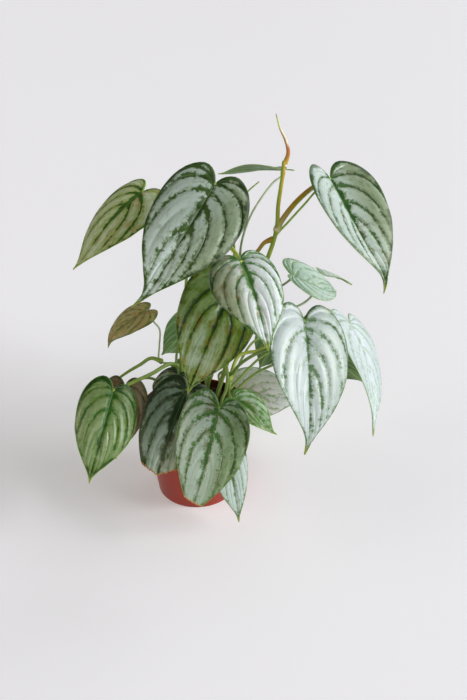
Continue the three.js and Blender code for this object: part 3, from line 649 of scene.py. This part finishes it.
vines = [
    {"name": "vine_main", "slot": "stem_olive", "foot": (16, 12), "tubes": [
        shoot([(24, 16, 105), (36, 18, 145), (47.3, 18, 180), (57.6, 17, 206), (63.6, 26, 224),
               (64.6, 30, 242), (67.6, 35, 264), (68.4, 38, 274)], (2.0, 1.6), "main", stem=True, taper=0.1,
              knuckles=(0.77, 0.96), second=dict(colour="#86a51c", side=(-1, -0.4, 0))),
        # the spike: the cream on its right side, along its middle, is a painted highlight
        shoot([(69, 38, 271), (71.5, 40, 279), (69.5, 42, 288), (65, 44, 297), (62, 46, 307)], (1.8, 0.5),
              "spike", flare=0.1, second=dict(colour="#f2e6b8", side=(1, -0.4, 0.3), part=(0.42, 0.72))),
        shoot([(62.5, 25, 221), (67, 30, 228), (75.5, 39, 236.5), (85, 49, 242.5), (94, 60, 245),
               (101, 69, 245)], (2.2, 1.9), "branch", flare=0.15, taper=0.1, knuckles=(0.06,),
              second=dict(colour="#84a51c", side=(0.2, -0.5, -1))),
        shoot([(62, 24, 219), (70.5, 29, 226), (79.5, 35, 234), (86.5, 41, 239.5), (94, 51, 244)],
              (0.9, 0.8), "bright", leaf="leaf_upper_right"),
        shoot([(61.5, 23, 217), (54.5, 25, 213), (49, 26, 205), (40, 26, 197), (34, 20, 190)], (1.7, 1.1),
              "stub", leaf="leaf_centre_left", second=dict(colour="#8ba23a", side=(0.3, 0, -1))),
    ]},
    {"name": "vine_front", "foot": (-2, 4), "tubes": [
        shoot([(0, 14, 110), (4, 22, 160), (10, 27, 195), (15, 30, 218)], (1.9, 1.6), stem=True),
        shoot([(15, 30, 215), (20, 38, 234), (20, 44, 248)], (1.5, 1.1), "fresh", leaf="leaf_upper_large"),
        shoot([(14, 29, 212), (22, 22, 217), (30, 13, 213), (34, 2, 212)], (1.9, 1.5), "sheath",
              leaf="leaf_centre", lean=35),
    ]},
    {"name": "vine_left", "foot": (-12, 14), "tubes": [
        shoot([(-12, 28, 110), (-8, 42, 160), (-5, 50, 200)], (1.8, 1.4), stem=True),
        shoot([(-5, 50, 197), (-12, 64, 222), (-28, 74, 231)], (1.3, 1.1), "fresh", leaf="leaf_upper_left"),
        shoot([(-6, 48, 190), (4, 80, 202), (14, 112, 206)], (1.3, 1.1), "fresh", leaf="leaf_rear_top"),
    ]},
    {"name": "vine_back", "foot": (8, 30), "tubes": [
        shoot([(18, 42, 110), (28, 48, 150), (36, 50, 188)], (1.9, 1.5), stem=True),
        shoot([(36, 50, 186), (37, 57, 197), (43, 73, 211), (53, 89, 223), (64, 101, 233)], (1, 0.8),
              "pale", leaf="leaf_top_back"),
        shoot([(23, 45, 130), (45, 75, 142), (70, 104, 134)], tone="pale", leaf="leaf_back_right"),
        shoot([(20, 43, 116), (50, 85, 112), (97, 126, 109), (110, 142, 119)], tone="pale",
              leaf="leaf_back_far"),
        shoot([(21, 44, 122), (24, 74, 138), (25, 98, 138)], tone="fresh", leaf="leaf_rear_middle"),
        shoot([(9, 31, 75), (4, 46, 88), (-2, 54, 89)], tone="fresh", leaf="leaf_rear_low"),
        shoot([(32, 50, 170), (33, 92, 216), (43, 94, 228), (52, 97, 235)], (1.3, 0.8), "fresh"),
    ]},
    {"name": "vine_low_left", "foot": (-20, 12), "tubes": [
        shoot([(-19, 15, 86), (-15, 23, 104)], (1.8, 1.6), stem=True),
        shoot([(-15, 23, 103), (-21, 17, 109), (-34, 1, 110), (-41, -9, 112), (-47, -16, 113)], (1.7, 1.3),
              "fresh", leaf="leaf_lower_left"),
        shoot([(-21, 17, 109), (-30, 24, 108), (-30, 31, 118), (-30, 39, 129), (-35, 43, 134)], (0.8, 0.7),
              "pale", leaf="leaf_bronze_left"),
        shoot([(-27, 22, 108), (-37, 26, 109), (-46, 24, 104), (-56, 19, 100), (-68, 12, 94)], (1.6, 1.2),
              "fresh"),
        shoot([(-17, 21, 96), (-15, 34, 116), (-8, 46, 127)], (1.1, 0.9), leaf="leaf_behind_left"),
        shoot([(-19, 14, 82), (-36, 14, 97), (-50, 9, 98)], leaf="leaf_bronze_low"),
        shoot([(-20, 13, 77), (-22, 22, 90), (-17, 20, 99)], leaf="leaf_low_inner"),
    ]},
    {"name": "vine_low_front", "foot": (12, -2), "tubes": [
        shoot([(14, 0, 84)], (1.9, 1.6), stem=True),
        shoot([(13, -1, 78), (6, -2, 98), (-1, -6, 107)], (1.3, 1), "deep", leaf="leaf_torn"),
        shoot([(14, 0, 80), (21, 4, 100), (25, -6, 122), (26, -13, 118), (25, -28, 113), (22, -38, 111)],
              (1.5, 1.1), leaf="leaf_front_cut"),
        shoot([(14, -1, 76), (22, -4, 86), (27, -6, 90)], (1.1, 0.9), leaf="leaf_small_right"),
        shoot([(13, -3, 74), (17, -20, 86), (21, -35, 86)], leaf="leaf_pot_right"),
    ]},
    {"name": "vine_low_right", "foot": (26, 8), "tubes": [
        shoot([(27, 8, 95), (27, 6, 108)], (1.8, 1.6), stem=True),
        shoot([(27, 6, 106), (30, -3, 113), (36, -6, 123), (44, -10, 132), (51, -13, 138), (64, -18, 147),
               (76, -22, 163)], (1.4, 1.1), "deep", leaf="leaf_right"),
        shoot([(27, 8, 98), (35, 28, 110), (43, 32, 111), (51, 33, 112), (77, 42, 127), (101, 51, 141),
               (110, 51, 140), (116, 46, 134)], (1.6, 1.1), "bud", leaf="leaf_far_right"),
        shoot([(26, 8, 83), (26, 28, 89), (22, 42, 86), (18, 51, 76), (21, 56, 64)], leaf="leaf_low_right"),
        shoot([(27, 8, 94), (46, 48, 110), (64, 70, 108)], (1.1, 0.9), leaf="leaf_inner_right"),
        shoot([(27, 8, 90), (60, 34, 110), (94, 48, 106)], (1.1, 0.9), leaf="leaf_behind_right"),
        shoot([(27, 8, 82), (48, 28, 92), (76, 54, 92), (86, 80, 88)], leaf="leaf_rear_right"),
    ]},
]


def curveLine(points, step=0.25):
    # a smooth line through the points, sampled at even steps
    points = np.array(points, float)
    points = np.vstack([2 * points[0] - points[1], points, 2 * points[-1] - points[-2]])
    line = []
    for a, b, c, d in zip(points, points[1:], points[2:], points[3:]):
        ka, kb, kc = (max(np.linalg.norm(q - p), 1e-6) ** 0.5 for p, q in ((a, b), (b, c), (c, d)))
        m = ((b - a) / ka - (c - a) / (ka + kb) + (c - b) / kb) * kb
        n = ((c - b) / kb - (d - b) / (kb + kc) + (d - c) / kc) * kb
        w = np.linspace(0, 1, 24, endpoint=False)[:, None]
        line.append((2 * b - 2 * c + m + n) * w ** 3 + (3 * c - 3 * b - 2 * m - n) * w ** 2 + m * w + b)
    line = np.vstack([*line, points[-2]])
    run = np.concatenate([[0], np.cumsum(np.linalg.norm(np.diff(line, axis=0), axis=1))])
    even = np.linspace(0, run[-1], max(int(run[-1] / step), 8))
    return np.stack([np.interp(even, run, line[:, k]) for k in range(3)], 1), run[-1]


def stemRings(centre):
    # directions across the line that don't twist along it
    ahead = np.gradient(centre, axis=0)
    ahead /= np.linalg.norm(ahead, axis=1)[:, None]
    over = unit(np.cross(ahead[0], (0.3, 1, 0.2)))
    overs = []
    for way in ahead:
        over = unit(over - over @ way * way)
        overs.append(over)
    overs = np.array(overs)
    return overs, np.cross(ahead, overs)


def tubePath(vine, tube):
    path = list(tube["path"])
    if tube["stem"]:
        low, high = stemShape["foot"], stemShape["straight"]
        path = [(*vine["foot"], z) for z in (low, (low + high) / 2, high)] + path
    if "leaf" in tube:
        leaf = leafByName[tube["leaf"]]
        _, side, normal = (part[0] for part in bladeTurn(leaf, np.zeros(1)))
        lean = math.radians(tube["lean"])
        down = -(normal * math.cos(lean) + np.cross(side, normal) * math.sin(lean))
        path += [np.array(leaf["joint"]) + down * reach for reach in (5, 1.2, -0.5)]
    return path


def bulge(height, distance, width):
    # a smooth swelling round the place where distance is 0
    return 1 + height * np.exp(-((distance / width) ** 2))


def addTube(vine, tube, number):
    centre, length = curveLine(tubePath(vine, tube))
    radius = tube["radius"]
    cap = np.array([0, 0.08, 0.3, 0.62])
    count = max(int(length / stemShape["ringStep"]), 4)
    middle = np.linspace(1, length / radius[1] - 1, count) * radius[1]
    rings = np.concatenate([cap * radius[1], middle, length - cap[::-1] * radius[1]])
    close = np.minimum(rings, length - rings) / radius[1]
    size = radius[0] + (radius[1] - radius[0]) * rings / length
    if not tube["stem"]:
        size = size * bulge(tube["flare"], rings, stemShape["flareLength"])
    if "leaf" in tube:
        size = size * bulge(stemShape["jointSwell"], length - rings - 2, stemShape["jointLength"])
    else:
        size = size * (1 - tube["taper"] * (rings / length) ** 4)
    for knuckle in tube["knuckles"]:
        size = size * bulge(stemShape["knuckleSwell"], rings - knuckle * length, stemShape["knuckleLength"])
    size = size * np.sqrt(np.clip(1 - (1 - np.clip(close, 0, 1)) ** 2, 0, 1))
    even = np.linspace(0, length, len(centre))
    spots = np.stack([np.interp(rings, even, centre[:, k]) for k in range(3)], 1)
    one, two = stemRings(spots)
    tones = np.array([paint(code) for code in stemTones[tube["tone"]]])

    def shape(u, v):
        k = np.rint(v * (len(rings) - 1)).astype(int)
        turn = (2 * np.pi * u)[:, None]
        out = np.cos(turn) * one[k] + np.sin(turn) * two[k]
        points = spots[k] + size[k][:, None] * out
        share = rings[k] / length * (len(tones) - 1)
        tone = np.stack([np.interp(share, range(len(tones)), tones[:, c]) for c in range(4)], 1)
        if "second" in tube:
            # a second colour on one side of the stem, which on the spike is a painted highlight
            weight = np.clip(out @ unit(tube["second"]["side"]) * 1.1 + 0.25, 0, 1)[:, None]
            if "part" in tube["second"]:
                start, end = tube["second"]["part"]
                run = rings[k] / length
                fade = np.clip((run - start) / 0.1 + 1, 0, 1) * np.clip((end - run) / 0.1 + 1, 0, 1)
                weight *= fade[:, None]
            tone = tone * (1 - weight) + np.array(paint(tube["second"]["colour"])) * weight
        return points, {"tone": tone, "run": np.outer(rings[k], (1, 0, 0))}

    tubeMesh = addSheet(f"{vine['name']}_{number}", stemShape["sides"], len(rings) - 1, shape)
    tidyMesh(tubeMesh, 0.02)
    smoothPiece(tubeMesh, 60)
    return tubeMesh


def stemFinish(name):
    f = Finish(name, Specular_IOR_Level=0.5)
    run = f.split(f.mark("run"))[0]
    x, y, _ = f.split(f.place())
    tone = f.tone("tone")
    cloud = f.grain(f.place(), 0.22, 2.0)
    fibre = f.grain(f.join(x * 2, y * 2, run * 0.12), 1.0, 2.0)
    speck = f.grain(f.place(), 1.6).rise(0.62, 0.7)
    colour = f.mix(cloud.rise(0.35, 0.65) * 0.25, tone, stemShape["cloud"])
    colour = f.mix(fibre.rise(0.4, 0.7) * 0.15, colour, stemShape["fibre"])
    colour = f.mix(speck * 0.35, colour, stemShape["speck"])
    return f.finish(colour, 0.36 + cloud * 0.15, fibre + speck * 0.3, 0.3, 0.0003)


for vine in vines:
    tubes = [addTube(vine, tube, k) for k, tube in enumerate(vine["tubes"])]
    grown = joinPieces(tubes, vine["name"] + "_stems")
    grown.data.materials.clear()
    grown.data.materials.append(stemFinish(vine["name"] + "_skin"))
    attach(grown, "root")
    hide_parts(vine["name"])
print("vines made:", len(vines))


potShape = {
    "sides": 96,
    # radius and height of each ring, up the outside, over the rim and down the inside
    "profile": [(31.3, 0.4), (31.9, 0), (32.5, 0.8), (42.3, 67.7), (44.2, 69), (44.9, 77.4), (44.4, 78),
                (42.9, 78), (42.3, 77.4), (31.5, 1.9)],
    "bevel": 0.35, "bevelAngle": 35,
    "drainRing": 21, "drainRadius": 4, "drainCount": 6, "drillLength": 10,
    # the inside is darkened by painted shade, with soil dirt; this ends within the wall: radius there at the
    # foot, and how fast it widens upwards
    "insideFoot": 31.6, "insideSlope": 0.145,
    "red": "#9c2e16", "shade": "#7c2012", "dust": "#b98a76", "inside": "#2b1a13",
}


def potFinish():
    f = Finish("pot_plastic", Specular_IOR_Level=0.25)
    x, y, z = f.split(f.place())
    cloud = f.grain(f.place(), 0.06, 3.0)
    flow = f.grain(f.join(x * 0.3, y * 0.3, z * 0.02), 1.0, 2.0)
    fine = f.grain(f.place(), 2.5, 2.0)
    dust = (z.rise(60, 78) + z.fall(1, 5)) * f.grain(f.place(), 0.5, 4.0, 0.7).rise(0.5, 0.7)
    colour = f.mix(cloud.rise(0.3, 0.7) * 0.25, potShape["red"], potShape["shade"])
    colour = f.mix(dust * 0.35, colour, potShape["dust"])
    # painted shade, with soil dirt, darkens the upper part of the pot's inside
    foot = potShape["insideFoot"]
    fromAxis = (x * x + y * y).power(0.5)
    inside = (fromAxis - z * potShape["insideSlope"]).fall(foot, foot + 0.4) * z.rise(50, 60)
    colour = f.mix(inside * 0.9, colour, potShape["inside"])
    rough = 0.38 + dust * 0.2 + (fine - 0.5) * 0.08
    return f.finish(colour, rough, flow + fine * 0.15, 0.12, 0.0006)


def addPot():
    profile = potShape["profile"]
    pickNone()
    radius, low = profile[0]
    bpy.ops.mesh.primitive_circle_add(vertices=potShape["sides"], radius=radius * mm,
                                      fill_type="NGON", location=(0, 0, low * mm))
    pot = bpy.context.object
    bpy.ops.object.transform_apply(location=True)
    setMode("EDIT")
    bpy.ops.mesh.select_all(action="DESELECT")
    bpy.ops.mesh.select_mode(type="EDGE")
    bpy.ops.mesh.select_all(action="SELECT")
    bpy.ops.mesh.region_to_loop()
    for (r0, z0), (r1, z1) in zip(profile, profile[1:]):
        bpy.ops.mesh.extrude_region_move(TRANSFORM_OT_translate={"value": (0, 0, (z1 - z0) * mm)})
        bpy.ops.transform.resize(value=(r1 / r0, r1 / r0, 1), center_override=(0, 0, z1 * mm))
    bpy.ops.mesh.edge_face_add()
    setMode("OBJECT")
    tidyMesh(pot)
    ring = potShape["drainRing"] * mm
    for k in range(potShape["drainCount"]):
        angle = 2 * math.pi * k / potShape["drainCount"]
        pickNone()
        bpy.ops.mesh.primitive_cylinder_add(vertices=32, radius=potShape["drainRadius"] * mm,
                                            depth=potShape["drillLength"] * mm,
                                            location=(ring * math.cos(angle), ring * math.sin(angle), mm))
        drill = bpy.context.object
        addModifier(pot, "BOOLEAN", operation="DIFFERENCE", solver="EXACT", object=drill)
        bpy.data.objects.remove(drill)
    addModifier(pot, "BEVEL", width=potShape["bevel"] * mm, segments=2, limit_method="ANGLE",
                angle_limit=math.radians(potShape["bevelAngle"]))
    pot.name = pot.data.name = "pot_body"
    pot.data.materials.append(potFinish())
    smoothPiece(pot, potShape["bevelAngle"])
    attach(pot, "root")
    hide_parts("pot")


addPot()
print("pot made")


soilShape = {
    "sides": 90,
    "low": 2.2, "lowRadius": 30.8, "top": 74, "topRadius": 41.3,
    "lumps": 2.2, "crumbs": 0.9, "settled": 0.6,     # relief of the surface, and how far it sinks
    "chips": 230, "grains": 70, "spread": 39,
    "chipSize": (1.6, 4.2), "grainSize": (0.8, 1.6), "chipWidth": (0.5, 0.9), "chipHeight": (0.3, 0.6),
    "tilt": 0.5, "lie": (-0.6, 0.9),                 # how far a chip tips over, and sinks in or stands out
    "dark": "#1d1611", "light": "#40301f", "crumb": "#6a5236",
    "bark": ("#2c1f15", "#5f432a"), "barkFibre": "#8a6a45",
}


def soilFinish():
    f = Finish("potting_mix", Specular_IOR_Level=0.25)
    lump = f.grain(f.place(), 0.35, 4.0, 0.65)
    fine = f.grain(f.place(), 1.6, 4.0, 0.7)
    colour = f.mix(lump.rise(0.35, 0.65), soilShape["dark"], soilShape["light"])
    colour = f.mix(fine.rise(0.58, 0.7) * 0.6, colour, soilShape["crumb"])
    return f.finish(colour, 0.85 - lump * 0.15, lump + fine * 0.6, 0.7, 0.0012)


def chipFinish():
    f = Finish("bark_chips", Specular_IOR_Level=0.3)
    lump = f.grain(f.place(), 0.25, 3.0)
    fine = f.grain(f.place(), 2.0, 3.0)
    colour = f.mix(lump.rise(0.3, 0.7), *soilShape["bark"])
    colour = f.mix(fine.rise(0.5, 0.7) * 0.5, colour, soilShape["barkFibre"])
    return f.finish(colour, 0.75, fine + lump, 0.5, 0.0006)


def addChip(number):
    # one bark chip, modelled once and copied
    pickNone()
    bpy.ops.mesh.primitive_cube_add(size=1)
    chip = bpy.context.object
    setMode("EDIT")
    bpy.ops.mesh.select_all(action="SELECT")
    bpy.ops.mesh.bevel(offset=0.16, segments=1)
    bpy.ops.transform.vertex_random(offset=0.12, seed=number)
    setMode("OBJECT")
    return chip


def addSoil():
    low, top, wide = soilShape["low"], soilShape["top"], soilShape["topRadius"]
    # rings from the middle of the foot, up along the pot's wall and in over the top
    heights = [low, low, 30, top - 2.5, top - 1] + [top] * 16
    radii = [0.01, soilShape["lowRadius"], 36, wide - 0.2, wide - 0.6, *np.linspace(wide - 1.5, 0.01, 16)]

    def shape(u, v):
        k = v * (len(radii) - 1)
        radius, height = (np.interp(k, range(len(radii)), row) for row in (radii, heights))
        turn = 2 * np.pi * u
        points = np.stack([radius * np.cos(turn), radius * np.sin(turn), height], 1)
        for point in points:
            if point[2] > top - 1.5:
                lump, crumb = (noise.noise(Vector(point) * scale) for scale in (0.11, 0.4))
                point[2] += soilShape["lumps"] * lump + soilShape["crumbs"] * crumb
                point[2] -= soilShape["settled"]
        return points, {}

    soil = addSheet("soil_mass", soilShape["sides"], 5 * (len(radii) - 1), shape)
    tidyMesh(soil, 0.05)
    smoothPiece(soil, 60)
    soil.data.materials.append(soilFinish())
    look = np.random.default_rng(7)
    bark = chipFinish()
    chips = [addChip(k) for k in range(4)]
    parts = [soil]
    for k in range(soilShape["chips"] + soilShape["grains"]):
        pickOnly(chips[k % 4])
        bpy.ops.object.duplicate()
        chip = bpy.context.object
        angle, radius = look.uniform(0, 6.283), soilShape["spread"] * look.uniform(0, 1) ** 0.5
        side = look.uniform(*soilShape["chipSize" if k < soilShape["chips"] else "grainSize"]) * mm
        width, height = (look.uniform(*soilShape[key]) for key in ("chipWidth", "chipHeight"))
        chip.scale = (side, side * width, side * height)
        tilts = look.uniform(-soilShape["tilt"], soilShape["tilt"], 2)
        chip.rotation_euler = (*tilts, look.uniform(0, 6.283))
        lie = top + look.uniform(*soilShape["lie"])
        chip.location = (radius * mm * math.cos(angle), radius * mm * math.sin(angle), lie * mm)
        chip.data.materials.append(bark)
        parts.append(chip)
    for chip in chips:
        bpy.data.objects.remove(chip)
    pickOnly(parts[0])
    for part in parts[1:]:
        part.select_set(True)
    bpy.context.view_layer.objects.active = parts[1]
    parts[0].select_set(False)
    bpy.ops.object.transform_apply(location=True, rotation=True, scale=True)
    joined = joinPieces(parts, "soil_mass")
    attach(joined, "root")
    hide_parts("soil")


addSoil()
print("soil made")


studio = {
    "floor": "#e6e4e4", "floorCloud": "#dcd8d5", "floorSize": 8,
    # painted light: the floor's own glow also lifts the shadows on it
    "glow": "#fffdfc", "glowStrength": 0.24,     # a slight glow of the floor's own keeps it pale
    "camera": (0.030789, -0.656789, 0.522434), "tiltDown": 30.71, "lens": 50, "longSide": 36,
    "sky": "#f1f1f2", "skyStrength": 0.12,
    # from: the side that each soft light comes from; spread: how soft it is, in degrees
    "lights": [
        {"name": "window", "from": (1.5, -0.35, 0.75), "spread": 36, "power": 2.9, "colour": "#f4f7ff"},
        {"name": "back_window", "from": (1.2, 1.2, 0.6), "spread": 50, "power": 1.2, "colour": "#f6f8ff"},
        {"name": "left_wall", "from": (-1.5, -0.1, 0.6), "spread": 30, "power": 0.6, "colour": "#fff4e6"},
        {"name": "front_wall", "from": (0.0, -1.5, 0.7), "spread": 30, "power": 0.6, "colour": "#fdfdff"},
    ],
}


def addStudio():
    pickNone()
    bpy.ops.mesh.primitive_plane_add(size=studio["floorSize"])
    floor = bpy.context.object
    floor.name = "floor"
    f = Finish("floor_paint", Specular_IOR_Level=0.3, Emission_Color=studio["glow"],
               Emission_Strength=studio["glowStrength"])
    cloud = f.grain(f.place(), 0.004, 3.0)
    colour = f.mix(cloud * 0.2, studio["floor"], studio["floorCloud"])
    floor.data.materials.append(f.finish(colour, 0.6))
    for light in studio["lights"]:
        aim = Vector(light["from"]).to_track_quat("Z", "Y").to_euler()
        bpy.ops.object.light_add(type="SUN", rotation=aim)
        lamp = bpy.context.object
        lamp.name = light["name"]
        lamp.data.angle = math.radians(light["spread"])
        lamp.data.energy = light["power"]
        lamp.data.color = paint(light["colour"])[:3]
    world = bpy.data.worlds.new("room")
    world.use_nodes = True
    sky = world.node_tree.nodes["Background"]
    sky.inputs["Color"].default_value = paint(studio["sky"])
    sky.inputs["Strength"].default_value = studio["skyStrength"]
    bpy.context.scene.world = world
    tilt = math.radians(90 - studio["tiltDown"])
    bpy.ops.object.camera_add(location=studio["camera"], rotation=(tilt, 0, 0))
    camera = bpy.context.object
    camera.data.lens = studio["lens"]
    camera.data.sensor_width = studio["longSide"]
    camera.data.sensor_fit = "AUTO"
    bpy.context.scene.camera = camera
    bpy.context.scene.view_settings.view_transform = "Standard"


addStudio()
print("studio made")
